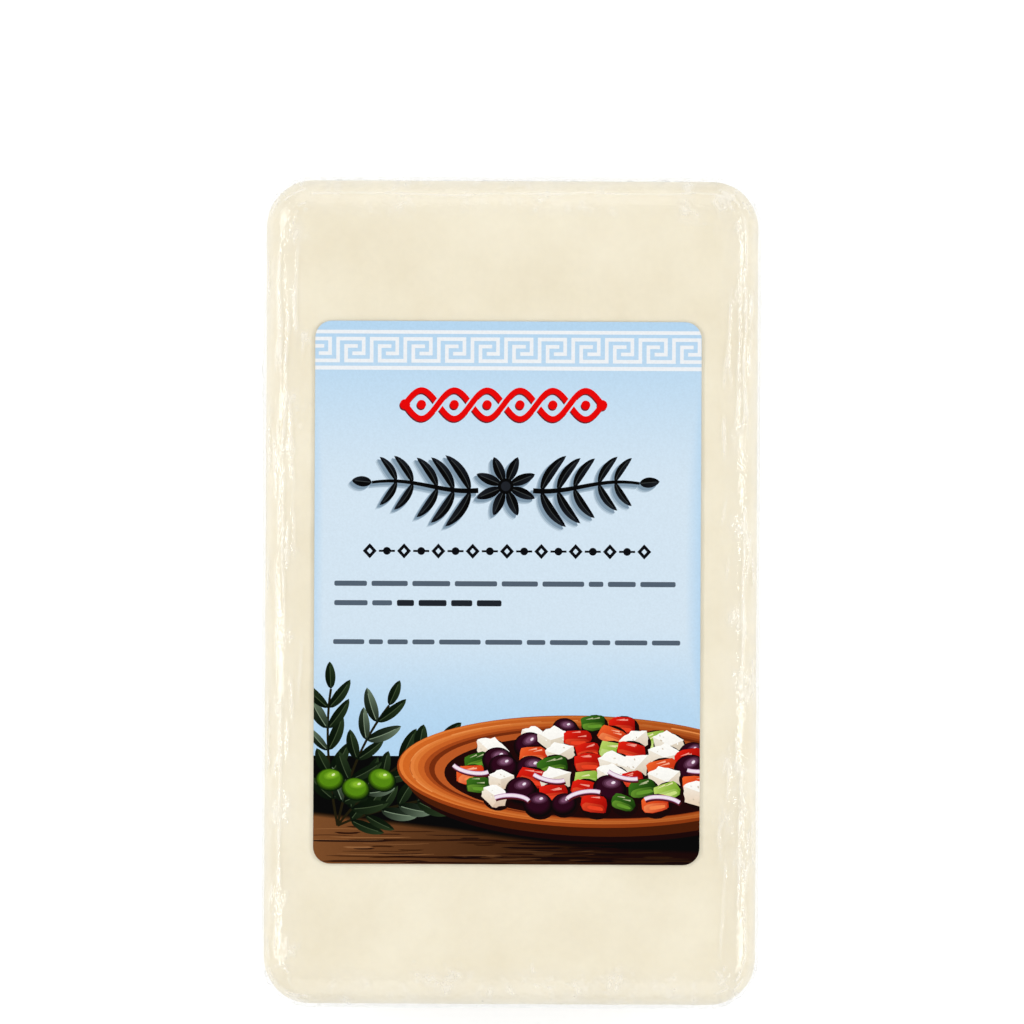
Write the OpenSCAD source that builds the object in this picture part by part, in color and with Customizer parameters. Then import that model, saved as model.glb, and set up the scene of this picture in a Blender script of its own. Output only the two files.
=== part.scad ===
// A loaf of feta sealed in a clear film bag, with a printed label on its top face.
// The pack lies on its back: X runs across it, Y along it and Z up. The origin is the
// middle of the underside. The bag is drawn tight on the loaf, so the two are one solid.
// At each end the bag's film is sealed flat and that seal is folded down on the end face.

/* [Loaf in its bag] */
// Length from end face to end face, without the folded seals
loaf_length = 273; // [200:1:340]
// Width from side to side
loaf_width = 163.5; // [130:0.5:200]
// Height from the underside to the top face
loaf_height = 88; // [60:1:120]
// Radius of the four upright corners, seen from above
corner_radius = 16; // [15:0.5:30]

/* [Rounded edges] */
// How far in from the sides the rounding of the top edge starts
top_edge_run = 14; // [6:0.5:14.5]
// How far down from the top face that rounding reaches
top_edge_drop = 11; // [6:0.5:20]
// How far in from the sides the rounding of the bottom edge starts
bottom_edge_run = 10; // [5:0.5:14.5]
// How far up from the underside that rounding reaches
bottom_edge_rise = 9; // [5:0.5:20]

/* [End seals] */
// Height of the line along which the film closes at each end
seal_height = 46; // [40:1:80]
// Length of the seal, from its fold to its free edge
seal_length = 22; // [10:1:28]
// Thickness of the folded seal, with the air between its films
seal_thickness = 0.8; // [0.4:0.1:2]
// Width of the end face that the seal leaves bare at each side
seal_side_gap = 2; // [0:0.5:20]
// Radius of the seal's two free corners
seal_corner_radius = 4; // [1:0.5:8]

/* [Label] */
// Width of the label, across the loaf
label_width = 127; // [80:0.5:155]
// Length of the label, along the loaf
label_length = 178.5; // [100:0.5:240]
// Radius of the label's corners
label_corner_radius = 5.5; // [1:0.5:12]
// Thickness of the label
label_thickness = 0.25; // [0.1:0.05:1]
// How far the label sits to the right of the middle
label_shift = -1.2; // [-4:0.1:4]

/* [Hidden] */

film_cream = [0.95, 0.91, 0.81];
label_blue = [0.79, 0.88, 0.95];

corner_steps = 16; // facets round each upright corner
edge_steps = 10;   // facets over each rounded edge
least_radius = 1;  // upright corners never get sharper than this
seal_root = 0.4;   // how far the seal's solid reaches into the loaf it hangs on
$fn = 48;

ring_points = 4 * (corner_steps + 1);

// The loaf's outline at one height: a rectangle with round corners, set in from the sides.
function ring(inset, z) =
    let (
        radius = max(corner_radius - inset, least_radius),
        reach_x = loaf_width / 2 - inset - radius,
        reach_y = loaf_length / 2 - inset - radius
    )
    [
        for (corner = [0:3], step = [0:corner_steps])
            let (
                angle = 90 * (corner + step / corner_steps),
                side_x = corner == 0 || corner == 3 ? 1 : -1,
                side_y = corner < 2 ? 1 : -1
            )
            [side_x * reach_x + radius * cos(angle), side_y * reach_y + radius * sin(angle), z]
    ];

// How far each ring is set in, and how high it lies, from the underside to the top face.
// Both edges are quarter ellipses, and the sides between them are upright.
profile = [
    for (step = [0:edge_steps])
        let (angle = 90 * step / edge_steps)
        [bottom_edge_run * (1 - sin(angle)), bottom_edge_rise * (1 - cos(angle))],
    for (step = [0:edge_steps])
        let (angle = 90 * step / edge_steps)
        [top_edge_run * (1 - cos(angle)), loaf_height - top_edge_drop * (1 - sin(angle))]
];

// The loaf under its film, a skin over the stacked rings that is closed by two flat faces.
module loaf() {
    top_ring = len(profile) - 1;
    polyhedron(
        points = [for (level = profile) each ring(level[0], level[1])],
        faces = [
            [for (i = [0:ring_points - 1]) i],
            for (level = [0:top_ring - 1], i = [0:ring_points - 1])
                let (
                    next = (i + 1) % ring_points,
                    low = level * ring_points,
                    high = low + ring_points
                )
                [low + i, high + i, high + next, low + next],
            [for (i = [ring_points - 1:-1:0]) top_ring * ring_points + i]
        ]
    );
}

// A rectangle from y = -length to y = 0 whose two lower corners are round.
module seal_outline(width, length, radius) {
    difference() {
        translate([-width / 2, -length]) square([width, length]);
        for (side = [-1, 1])
            translate([side * (width / 2 - radius), radius - length])
                difference() {
                    translate([side > 0 ? 0 : -radius, -radius]) square(radius);
                    circle(radius);
                }
    }
}

// The film's flat seal at one end, folded down so that it lies on the end face.
module end_seal() {
    width = loaf_width - 2 * corner_radius - 2 * seal_side_gap;
    translate([0, loaf_length / 2 - seal_root, seal_height])
        rotate([90, 0, 180])
            linear_extrude(seal_root + seal_thickness)
                seal_outline(width, seal_length, seal_corner_radius);
}

module bag() {
    color(film_cream)
        union() {
            loaf();
            end_seal();
            rotate([0, 0, 180]) end_seal();
        }
}

// A rectangle about the origin with round corners.
module label_outline() {
    inner_width = label_width - 2 * label_corner_radius;
    inner_length = label_length - 2 * label_corner_radius;
    square([label_width, inner_length], center = true);
    square([inner_width, label_length], center = true);
    for (x = [-1, 1], y = [-1, 1])
        translate([x * inner_width / 2, y * inner_length / 2]) circle(label_corner_radius);
}

// The label is the layer between the loaf's top and the same top one thickness higher,
// so it lies on the loaf all over, at whatever size.
module label() {
    color(label_blue)
        intersection() {
            translate([label_shift, 0, loaf_height / 2])
                linear_extrude(loaf_height) label_outline();
            difference() {
                translate([0, 0, label_thickness]) loaf();
                loaf();
            }
        }
}

bag();
label();
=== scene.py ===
"""A loaf of feta sealed in a clear film bag, with a printed label on its top face."""

import math
import random

import bmesh
import bpy
import numpy as np
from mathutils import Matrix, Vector, noise
from mathutils.geometry import delaunay_2d_cdt


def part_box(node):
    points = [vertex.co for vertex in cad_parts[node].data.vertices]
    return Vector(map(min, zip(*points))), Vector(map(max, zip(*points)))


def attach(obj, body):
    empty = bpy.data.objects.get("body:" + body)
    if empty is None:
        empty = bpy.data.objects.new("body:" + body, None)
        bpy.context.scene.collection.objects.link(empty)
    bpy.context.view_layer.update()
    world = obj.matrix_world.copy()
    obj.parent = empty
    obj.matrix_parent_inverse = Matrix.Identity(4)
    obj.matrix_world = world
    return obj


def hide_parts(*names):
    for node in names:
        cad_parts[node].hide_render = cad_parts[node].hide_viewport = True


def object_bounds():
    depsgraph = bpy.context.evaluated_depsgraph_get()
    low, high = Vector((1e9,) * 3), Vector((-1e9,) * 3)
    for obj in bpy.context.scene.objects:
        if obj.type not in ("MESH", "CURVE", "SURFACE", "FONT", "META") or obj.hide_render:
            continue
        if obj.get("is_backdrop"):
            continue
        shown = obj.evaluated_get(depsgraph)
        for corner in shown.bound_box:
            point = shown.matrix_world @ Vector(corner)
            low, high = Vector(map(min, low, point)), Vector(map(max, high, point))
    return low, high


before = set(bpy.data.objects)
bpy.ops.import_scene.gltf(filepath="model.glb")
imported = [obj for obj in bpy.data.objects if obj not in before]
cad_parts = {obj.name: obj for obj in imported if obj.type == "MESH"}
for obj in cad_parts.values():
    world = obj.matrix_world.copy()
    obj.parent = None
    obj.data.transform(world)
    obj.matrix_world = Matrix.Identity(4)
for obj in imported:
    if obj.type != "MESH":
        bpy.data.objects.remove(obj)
cad_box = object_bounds()

MM = 0.001

# The loaf, in millimetres, as in the CAD model.
BAG_HIGH = np.array(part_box("bag")[1]) / MM
LABEL_LOW, LABEL_HIGH = (np.array(corner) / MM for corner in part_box("label"))
SEAL_THICKNESS = 0.8
HALF_X = BAG_HIGH[0]
HALF_Y = BAG_HIGH[1] - SEAL_THICKNESS
HEIGHT = BAG_HIGH[2]
CORNER = 16.0
TOP_RUN, TOP_DROP = 14.0, 11.0
BOTTOM_RUN, BOTTOM_RISE = 10.0, 9.0
SEAL_HEIGHT = 46.0
SEAL_LENGTH = 22.0
SEAL_WIDTH = 2 * HALF_X - 2 * CORNER - 4.0
LABEL_CORNER = 5.5

# What only the looks need, in millimetres: the first ring's place in from the sides, how far the
# label's underside lies below the bag's top, and the gaps between the cheese and its film.
FIRST_INSET = CORNER - 0.8
LABEL_SINK = 0.12
FILM_GAP = 0.4
SIDE_GAP = 0.7

# Colours, and what the print has to allow for the lamps' strength.
LABEL_LIGHT = 1.20
LABEL_SHEEN = 0.004
CHEESE_DEEP = (0.735, 0.668, 0.508)
CHEESE_PALE = (0.790, 0.732, 0.580)
SKY_BLUE = (180, 213, 239)
SKY_PALE = (211, 228, 241)


# ---------------------------------------------------------------- shape helpers

def smooth(value, low, high):
    """0 below low, 1 above high, and a smooth step between. Works on arrays."""
    t = np.clip((value - low) / (high - low), 0.0, 1.0)
    return t * t * (3 - 2 * t)


def window(value, low, high, fade):
    """1 between low and high, and 0 outside, with soft ends."""
    return smooth(value, low, low + fade) * (1 - smooth(value, high - fade, high))


def ridge(distance, width):
    """A narrow rounded ridge, 1 on its line."""
    return np.exp(-((distance / width) ** 2))


def noise_field(points, size, seed, octaves=2):
    """Smooth noise of about -1 to 1 at each point of an (n, 3) array in millimetres."""
    shift = Vector((seed * 17.31, seed * 5.77, seed * 11.13))
    values = np.empty(len(points))
    for i, point in enumerate(points):
        place = Vector(point) / size + shift
        values[i] = noise.fractal(place, 1.0, 2.0, octaves)
    return values


def loft_profile(steps):
    """The rings' insets, heights and normals, from the top's flat to the underside's."""
    rows = [(FIRST_INSET, HEIGHT, 0.0, 1.0)]
    for i in range(steps["top"] + 1):
        t = math.pi / 2 * i / steps["top"]
        normal = Vector((math.sin(t) / TOP_RUN, math.cos(t) / TOP_DROP)).normalized()
        inset = TOP_RUN * (1 - math.sin(t))
        rows.append((inset, HEIGHT - TOP_DROP * (1 - math.cos(t)), normal.x, normal.y))
    side_top = HEIGHT - TOP_DROP
    for i in range(1, steps["side"]):
        z = side_top + (BOTTOM_RISE - side_top) * i / steps["side"]
        rows.append((0.0, z, 1.0, 0.0))
    for i in range(steps["bottom"] + 1):
        t = math.pi / 2 * i / steps["bottom"]
        normal = Vector((math.cos(t) / BOTTOM_RUN, -math.sin(t) / BOTTOM_RISE)).normalized()
        inset = BOTTOM_RUN * (1 - math.cos(t))
        rows.append((inset, BOTTOM_RISE * (1 - math.sin(t)), normal.x, normal.y))
    rows.append((0.5 * (BOTTOM_RUN + CORNER), 0.0, 0.0, -1.0))
    return np.array(rows)


class Loft:
    """The loaf's skin: rings round its sides that close into a grid on top and below."""

    def __init__(self, steps):
        self.nx, self.ny, self.nc = steps["x"], steps["y"], steps["corner"]
        centre_x, centre_y = HALF_X - CORNER, HALF_Y - CORNER
        xs = np.linspace(-centre_x, centre_x, self.nx + 1)
        ys = np.linspace(-centre_y, centre_y, self.ny + 1)
        centres, ways, self.grid_of = [], [], []
        arc = [math.pi / 2 * i / self.nc for i in range(self.nc)]
        sides = [
            ([(centre_x, y) for y in ys[:-1]], [(self.nx, j) for j in range(self.ny)], 0),
            ([(x, centre_y) for x in xs[:0:-1]], [(i, self.ny) for i in range(self.nx, 0, -1)], 1),
            ([(-centre_x, y) for y in ys[:0:-1]], [(0, j) for j in range(self.ny, 0, -1)], 2),
            ([(x, -centre_y) for x in xs[:-1]], [(i, 0) for i in range(self.nx)], 3),
        ]
        corners = [
            ((centre_x, centre_y), (self.nx, self.ny)),
            ((-centre_x, centre_y), (0, self.ny)),
            ((-centre_x, -centre_y), (0, 0)),
            ((centre_x, -centre_y), (self.nx, 0)),
        ]
        for (points, cells, turn), (corner, cell) in zip(sides, corners):
            angle = turn * math.pi / 2
            for point, grid in zip(points, cells):
                centres.append(point)
                ways.append((math.cos(angle), math.sin(angle)))
                self.grid_of.append(grid)
            for step in arc:
                centres.append(corner)
                ways.append((math.cos(angle + step), math.sin(angle + step)))
                self.grid_of.append(cell)
        self.centres, self.ways = np.array(centres), np.array(ways)
        self.rows = loft_profile(steps)
        lengths = np.hypot(np.diff(self.rows[:, 0]), np.diff(self.rows[:, 1]))
        self.arc = np.concatenate([[0.0], np.cumsum(lengths)]) - (FIRST_INSET - TOP_RUN)
        rings, around = len(self.rows), len(self.centres)
        inset = self.rows[:, 0][:, None, None]
        flat = self.centres[None] + (CORNER - inset) * self.ways[None]
        z = np.broadcast_to(self.rows[:, 1][:, None, None], (rings, around, 1))
        self.points = np.concatenate([flat, z], axis=2)
        out = self.rows[:, 2][:, None, None] * self.ways[None]
        up = np.broadcast_to(self.rows[:, 3][:, None, None], (rings, around, 1))
        self.normals = np.concatenate([out, up], axis=2)
        gx, gy = np.meshgrid(xs, ys, indexing="ij")
        self.grid = np.stack([gx.ravel(), gy.ravel()], axis=1)

    def edge_coordinates(self):
        """Arc length down the profile, and angle round the loaf, of every ring vertex."""
        arc = np.broadcast_to(self.arc[:, None], self.points.shape[:2])
        angle = np.arctan2(self.ways[:, 1], self.ways[:, 0])
        return arc, np.broadcast_to(angle[None], arc.shape)

    def mesh(self, name, offset, top_offset, lowest):
        """A closed mesh object, moved along its normals by the offsets, above lowest."""
        skin = self.points + self.normals * offset[..., None]
        top = np.column_stack([self.grid, HEIGHT + top_offset])
        low = np.column_stack([self.grid, np.full(len(self.grid), lowest)])
        skin[..., 2] = np.maximum(skin[..., 2], lowest)
        vertices = np.concatenate([skin.reshape(-1, 3), top, low]) * MM
        rings, around = self.points.shape[:2]
        faces = []
        for r in range(rings - 1):
            for k in range(around):
                n = (k + 1) % around
                a, b = r * around, (r + 1) * around
                faces.append((a + k, b + k, b + n, a + n))
        first_top = rings * around
        first_low = first_top + len(self.grid)

        def cell(first, pair):
            return first + pair[0] * (self.ny + 1) + pair[1]

        last = (rings - 1) * around
        for k in range(around):
            n = (k + 1) % around
            here, there = self.grid_of[k], self.grid_of[n]
            top_face = [k, n, cell(first_top, there), cell(first_top, here)]
            low_face = [last + n, last + k, cell(first_low, here), cell(first_low, there)]
            faces.append(tuple(dict.fromkeys(top_face)))
            faces.append(tuple(dict.fromkeys(low_face)))
        for i in range(self.nx):
            for j in range(self.ny):
                square = [(i, j), (i + 1, j), (i + 1, j + 1), (i, j + 1)]
                faces.append(tuple(cell(first_top, p) for p in square))
                faces.append(tuple(cell(first_low, p) for p in reversed(square)))
        return mesh_object(name, vertices.tolist(), faces)


def mesh_object(name, vertices, faces):
    """A smooth-shaded mesh object with outward normals."""
    mesh = bpy.data.meshes.new(name)
    mesh.from_pydata(vertices, [], faces)
    mesh.validate()
    work = bmesh.new()
    work.from_mesh(mesh)
    bmesh.ops.recalc_face_normals(work, faces=work.faces)
    work.to_mesh(mesh)
    work.free()
    mesh.shade_smooth()
    piece = bpy.data.objects.new(name, mesh)
    bpy.context.scene.collection.objects.link(piece)
    return piece


def set_attribute(piece, name, values):
    """Stores a number for each vertex of a piece."""
    attribute = piece.data.attributes.new(name, "FLOAT", "POINT")
    attribute.data.foreach_set("value", np.asarray(values, np.float32))


# ---------------------------------------------------------------- the film's creases

def long_pleats():
    """Fine pleats along the long edges: side, inset, start, end, height, width, lean."""
    pick = random.Random(41)
    pleats = [
        (-1, 5.7, 62, 121, 0.55, 0.60, 0.3), (-1, 5.0, 66, 112, 0.30, 0.50, -0.5),
        (-1, 6.6, -20, 55, 0.38, 0.60, 0.8), (-1, 5.2, 12, 44, 0.30, 0.50, -0.6),
        (-1, 6.0, -108, -30, 0.34, 0.65, -0.6), (-1, 10.8, 84, 118, 0.34, 0.55, -1.8),
        (-1, 9.4, 30, 70, 0.26, 0.55, 1.0), (1, 5.2, 44, 112, 0.50, 0.60, 1.6),
        (1, 6.8, 60, 100, 0.26, 0.50, -0.8), (1, 5.6, -36, 34, 0.40, 0.60, -0.6),
        (1, 6.2, -116, -44, 0.36, 0.65, 0.8), (1, 10.2, 66, 104, 0.26, 0.55, 1.8),
    ]
    for side in (-1, 1):
        for _ in range(34):
            start = pick.uniform(-125, 104)
            inset = pick.choice([pick.uniform(1.5, 5), pick.uniform(4, 8), pick.uniform(7, 13)])
            length = pick.uniform(5, 26)
            height = pick.uniform(0.12, 0.30)
            lean = pick.uniform(-2.2, 2.2)
            pleats.append((side, inset, start, start + length, height, 0.55, lean))
    return pleats


def crumples():
    """Clusters of short curved creases near the top's edges, and each cluster's milky patch."""
    pick = random.Random(17)
    clusters = [
        (-70.5, 117.0, 2.5, 5), (-72.0, 61.0, 4.0, 6), (-74.0, 46.0, 3.5, 7),
        (-73.0, 12.0, 3.5, 6), (-74.5, -14.0, 3.5, 6), (-68.0, 84.0, 2.5, 4),
        (58.0, 123.0, 3.0, 5), (64.5, 118.5, 3.0, 6), (69.5, 127.0, 4.0, 8), (75.0, 119.0, 3.0, 6),
        (56.0, 127.5, 3.0, 4), (75.0, 96.0, 3.5, 5), (74.0, 50.0, 4.0, 6), (74.5, 22.0, 3.5, 6),
        (73.5, -8.0, 3.5, 6), (-40.0, 127.0, 4.0, 4), (10.0, 129.0, 4.0, 4),
    ]
    for _ in range(16):
        side = pick.choice([-1, 1])
        clusters.append((side * pick.uniform(70, 77), pick.uniform(-130, -24), 3.5, 5))
    for _ in range(9):
        clusters.append((pick.uniform(-66, 66), -pick.uniform(125, 132), 3.5, 4))
    creases = []
    for x, y, spread, count in clusters:
        for _ in range(count):
            place = (x + pick.gauss(0, 0.45 * spread), y + pick.gauss(0, 0.7 * spread))
            way = math.radians(pick.gauss(90, 40))
            height = pick.uniform(0.08, 0.20)
            bow = pick.uniform(0.06, 0.22) * pick.choice([-1, 1])
            creases.append((place, way, pick.uniform(1.0, 2.4), height, bow))
    return clusters, creases


def film_offset(loft):
    """The film's distance off the smooth loaf, on its rings and on top, its haze, and a mask of its
    side walls, where the film is painted greyer as shade.
    """
    arc, angle = loft.edge_coordinates()
    x, y, z = (loft.points[..., i] for i in range(3))
    flat_points = loft.points.reshape(-1, 3)
    creased = np.zeros(arc.shape)
    milky = np.zeros(arc.shape)
    insets, arcs = loft.rows[1:, 0], loft.arc[1:]
    top_rows = insets.argmin() + 1
    wobble = noise_field(flat_points, 22.0, 1).reshape(arc.shape)
    fine = noise_field(flat_points, 7.0, 2).reshape(arc.shape)
    calm = noise_field(flat_points, 30.0, 3).reshape(arc.shape)
    for side, inset, start, end, height, width, lean in long_pleats():
        on_side = (np.sign(x) == side) & (np.abs(y) < HALF_Y - CORNER + 5)
        line = np.interp(TOP_RUN - inset, TOP_RUN - insets[:top_rows], arcs[:top_rows])
        run = (y - start) / (end - start)
        line = line + lean * (run - 0.5) + 0.9 * wobble
        shape = ridge(arc - line, width) * window(y, start, end, 0.3 * (end - start))
        creased += np.where(on_side, height * shape * (1 + 0.6 * fine), 0)
        milky += np.where(on_side, 0.6 * shape, 0)
    upper = smooth(z, HEIGHT - 12, HEIGHT - 8)
    clusters, creases = crumples()
    for (cx, cy), way, length, height, bow in creases:
        along = (x - cx) * math.cos(way) + (y - cy) * math.sin(way)
        across = (y - cy) * math.cos(way) - (x - cx) * math.sin(way) - bow * along ** 2
        shape = ridge(across, 0.55) * ridge(along, length) * upper
        creased += height * shape
        milky += 0.5 * shape
    for cx, cy, spread, _ in clusters:
        far = np.hypot(x - cx, y - cy)
        milky += 0.32 * ridge(far, 1.1 * spread) * upper * np.clip(0.7 + fine, 0, 1.4)
    pick = random.Random(7)
    for shape, height, haze in corner_creases(arc, angle, wobble, pick):
        creased += height * shape
        milky += haze * shape
    for end in (-1, 1):
        on_end = (np.sign(y) == end) & (np.abs(x) < HALF_X - CORNER + 2)
        for shape, height in end_tucks(arc, x, pick):
            creased += np.where(on_end, height * shape, 0)
            milky += np.where(on_end, 0.4 * shape, 0)
        creased += end_face_creases(on_end, x, z, pick)
    creased += side_face_creases(x, y, z, pick)
    milky += np.clip(creased - 0.15, 0, 0.5)
    edge = smooth(arc, -1.0, 4.0) * (1 - smooth(arc, 88.0, 100.0))
    slack = 0.30 * window(z, HEIGHT - 44, HEIGHT - 4, 14)
    end_share = np.abs(loft.ways[:, 1])[None] ** 4
    slack = slack + 0.55 * end_share * window(z, SEAL_HEIGHT + 3, HEIGHT - 4, 12)
    offset = creased + 0.08 * edge * fine + 0.10 * edge * calm - 0.10 * (1 - edge) * (1 + calm)
    offset = offset + slack
    grid_points = np.column_stack([loft.grid, np.full(len(loft.grid), HEIGHT)])
    top = -0.10 * (1 + noise_field(grid_points, 30.0, 3))
    rim = ridge(arc - 20.0, 6.5)
    haze = np.clip(milky + edge * (0.22 + 0.14 * calm) + 0.55 * rim, 0, 1)
    # The last value masks the side walls, where the film's colour is painted darker as shade.
    return offset, top, haze, smooth(arc, 9.0, 17.0)


def corner_creases(arc, angle, wobble, pick):
    """Creases down and round each corner: shapes with their heights and shares of haze."""
    for turn in range(4):
        middle = (turn + 0.5) * math.pi / 2
        away = np.abs((angle - middle + math.pi) % (2 * math.pi) - math.pi)
        in_corner = 1 - smooth(away, math.pi / 4 - 0.02, math.pi / 4 + 0.25)
        for _ in range(9):
            place = middle + pick.uniform(-0.72, 0.72)
            slope = pick.uniform(-0.010, 0.010)
            height = pick.uniform(0.10, 0.26)
            start, end = pick.uniform(7, 16), pick.uniform(26, 60)
            gap = (angle - place - slope * (arc - 14) + math.pi) % (2 * math.pi) - math.pi
            yield ridge(gap * CORNER, 0.8) * window(arc, start, end, 8) * in_corner, height, 0.5
        for _ in range(6):
            line = pick.uniform(4, 15)
            turn_from = middle + pick.uniform(-0.7, 0.3)
            turn_to = turn_from + pick.uniform(0.3, 0.8)
            spread = window(angle % (2 * math.pi), turn_from, turn_to, 0.1)
            shape = ridge(arc - line - 1.2 * wobble, 0.5) * in_corner * spread
            yield shape, pick.uniform(0.06, 0.16), 0.6


def end_tucks(arc, x, pick):
    """Short tucks over an end's top edge: shapes with their heights."""
    for _ in range(30):
        place = pick.uniform(-HALF_X + 18, HALF_X - 18)
        lean = pick.uniform(-0.5, 0.5)
        start = pick.uniform(0, 12)
        length = pick.uniform(4, 12)
        height = pick.uniform(0.05, 0.16)
        shape = ridge(x - place - lean * (arc - start), 1.1)
        yield shape * window(arc, start, start + length, 0.4 * length), height


def end_face_creases(on_end, x, z, pick):
    """Tucks from an end face's corners to its seal, and gathers along the seal."""
    offset = np.zeros(x.shape)
    half = SEAL_WIDTH / 2
    for side in (-1, 1):
        for target in (HEIGHT - 12, 12):
            for k in range(4):
                foot = side * (half - 1.5 - 4.0 * k)
                head = side * (half + 1.5 - 10.0 * k)
                run = (z - SEAL_HEIGHT) / (target - SEAL_HEIGHT)
                line = foot + (head - foot) * run
                shape = ridge(x - line, 0.9) * window(run, -0.02, 1.0, 0.3)
                offset += (0.62 - 0.10 * k) * shape
    for _ in range(40):
        place = pick.uniform(-half + 3, half - 3)
        up = pick.choice([-1, 1])
        length = pick.uniform(5, 19)
        height = pick.uniform(0.15, 0.45)
        lean = pick.uniform(-0.35, 0.35)
        run = up * (z - SEAL_HEIGHT)
        shape = ridge(x - place - lean * run, 0.8) * window(run, -1.0, length, 0.45 * length)
        offset += height * shape
    offset += 0.6 * ridge(z - SEAL_HEIGHT, 1.8)
    return np.where(on_end, offset, 0)


def side_face_creases(x, y, z, pick):
    """Long slack creases down and along the two long side faces."""
    offset = np.zeros(x.shape)
    for side in (-1, 1):
        on_side = (np.sign(x) == side) & (np.abs(y) < HALF_Y - 10)
        for _ in range(22):
            place = (pick.uniform(-115, 115), pick.uniform(10, 78))
            way = math.radians(pick.choice([pick.gauss(90, 22), pick.gauss(10, 14)]))
            length = pick.uniform(9, 26)
            height = pick.uniform(0.22, 0.55)
            bow = pick.uniform(-0.012, 0.012)
            along = (y - place[0]) * math.cos(way) + (z - place[1]) * math.sin(way)
            across = (z - place[1]) * math.cos(way) - (y - place[0]) * math.sin(way)
            shape = ridge(across - bow * along ** 2, 1.5) * ridge(along, length)
            offset += np.where(on_side, height * shape, 0)
    return offset * smooth(z, 2, 12) * (1 - smooth(z, HEIGHT - 14, HEIGHT - 4))


# ---------------------------------------------------------------- the pieces

def make_cheese():
    """The loaf of cheese, a little inside its film."""
    steps = {"x": 60, "y": 96, "corner": 14, "top": 14, "side": 24, "bottom": 8}
    loft = Loft(steps)
    flat = loft.points.reshape(-1, 3)
    offset = 0.12 * noise_field(flat, 9.0, 5).reshape(loft.points.shape[:2])
    offset -= FILM_GAP + (SIDE_GAP - FILM_GAP) * loft.rows[:, 2][:, None] ** 2
    grid = np.column_stack([loft.grid, np.full(len(loft.grid), HEIGHT)])
    top = 0.12 * noise_field(grid, 9.0, 5) - FILM_GAP
    return loft.mesh("cheese_loaf", offset, top, FILM_GAP)


def make_film():
    """The clear bag, drawn tight on the cheese, with its pleats and creases."""
    steps = {"x": 104, "y": 128, "corner": 34, "top": 46, "side": 34, "bottom": 9}
    loft = Loft(steps)
    offset, top, haze, wall_shade = film_offset(loft)
    piece = loft.mesh("film_bag", offset, top, 0.0)
    flat = np.zeros(len(top))
    set_attribute(piece, "haze", np.concatenate([haze.ravel(), flat, flat]))
    # The side-wall mask: where the film's colour is painted greyer as shade.
    set_attribute(piece, "wall_shade", np.concatenate([wall_shade.ravel(), flat, flat]))
    return piece


def make_end_seal(end):
    """A flat heat-sealed fin of film, folded down on an end face."""
    across, down = 190, 60
    pick = random.Random(11 + end)
    phase = [pick.uniform(0, 6.3) for _ in range(5)]
    gathers = []
    for _ in range(26):
        place = pick.uniform(-0.96, 0.96) * SEAL_WIDTH / 2
        gathers.append((place, pick.uniform(-4, 4), pick.uniform(0.2, 0.85), pick.uniform(0.10, 0.30)))
    radius = 5.0
    xs, vs, zs = [], [], []
    for u in np.linspace(-1, 1, across + 1):
        for v in np.linspace(0, 1, down + 1):
            corner = max(0.0, v * SEAL_LENGTH - (SEAL_LENGTH - radius))
            half = SEAL_WIDTH / 2 - radius + math.sqrt(radius ** 2 - corner ** 2)
            x = u * half
            edge = 0.5 * math.sin(x / 13 + phase[0]) + 0.25 * math.sin(x / 4.7 + phase[1])
            xs.append(x)
            zs.append(SEAL_HEIGHT + 0.6 - v * SEAL_LENGTH + edge * v)
            vs.append(v)
    x, v = np.array(xs), np.array(vs)
    lift = -0.3 + 1.0 * smooth(v, 0.0, 0.07) - 0.25 * smooth(v, 0.1, 0.3)
    lift += 0.14 * np.sin(x / 6.1 + phase[2] + 3 * v) * smooth(v, 0.1, 0.8)
    lift += 0.22 * np.sin(x / 17.0 + phase[3]) * smooth(v, 0.5, 1.0)
    folds = np.zeros(len(x))
    for place, lean, reach, height in gathers:
        shape = ridge(x - place - lean * v, 0.7) * (1 - smooth(v, 0.5 * reach, reach))
        folds += height * shape * smooth(v, 0.0, 0.06)
    crimp = window(v, 0.42, 0.80, 0.03)
    rib = np.sin(v * SEAL_LENGTH * 2 * math.pi / 1.4)
    lift += folds * (1 - 0.7 * crimp) + 0.08 * crimp * rib
    haze = 0.10 + 0.9 * folds + crimp * (0.32 + 0.22 * rib) + 0.35 * ridge(v - 1.0, 0.025)
    half_thick = 0.14
    front = np.column_stack([x, end * (HALF_Y + lift + half_thick), zs])
    back = np.column_stack([x, end * (HALF_Y + lift - half_thick), zs])
    vertices = np.concatenate([front, back]) * MM
    faces = []

    def at(i, j, layer=0):
        return layer * len(front) + i * (down + 1) + j

    for i in range(across):
        for j in range(down):
            square = [(i, j), (i + 1, j), (i + 1, j + 1), (i, j + 1)]
            faces.append([at(*p) for p in square])
            faces.append([at(*p, 1) for p in reversed(square)])
    rim = [(i, 0) for i in range(across)]
    rim += [(across, j) for j in range(down)]
    rim += [(i, down) for i in range(across, 0, -1)]
    rim += [(0, j) for j in range(down, 0, -1)]
    for a, b in zip(rim, rim[1:] + rim[:1]):
        faces.append([at(*a), at(*b), at(*b, 1), at(*a, 1)])
    name = "end_seal_far" if end > 0 else "end_seal_near"
    piece = mesh_object(name, vertices.tolist(), faces)
    haze = np.clip(haze, 0, 1)
    set_attribute(piece, "haze", np.concatenate([haze, haze]))
    set_attribute(piece, "wall_shade", np.zeros(len(vertices)))
    return piece


# ---------------------------------------------------------------- materials

def new_material(name):
    """An empty node material, its output node and a function that adds nodes."""
    material = bpy.data.materials.new(name)
    material.use_nodes = True
    tree = material.node_tree
    tree.nodes.clear()
    output = tree.nodes.new("ShaderNodeOutputMaterial")

    def add(kind, **sockets):
        node = tree.nodes.new(kind)
        for socket, value in sockets.items():
            set_socket(tree, node, socket, value)
        return node

    return material, tree, output, add


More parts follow.
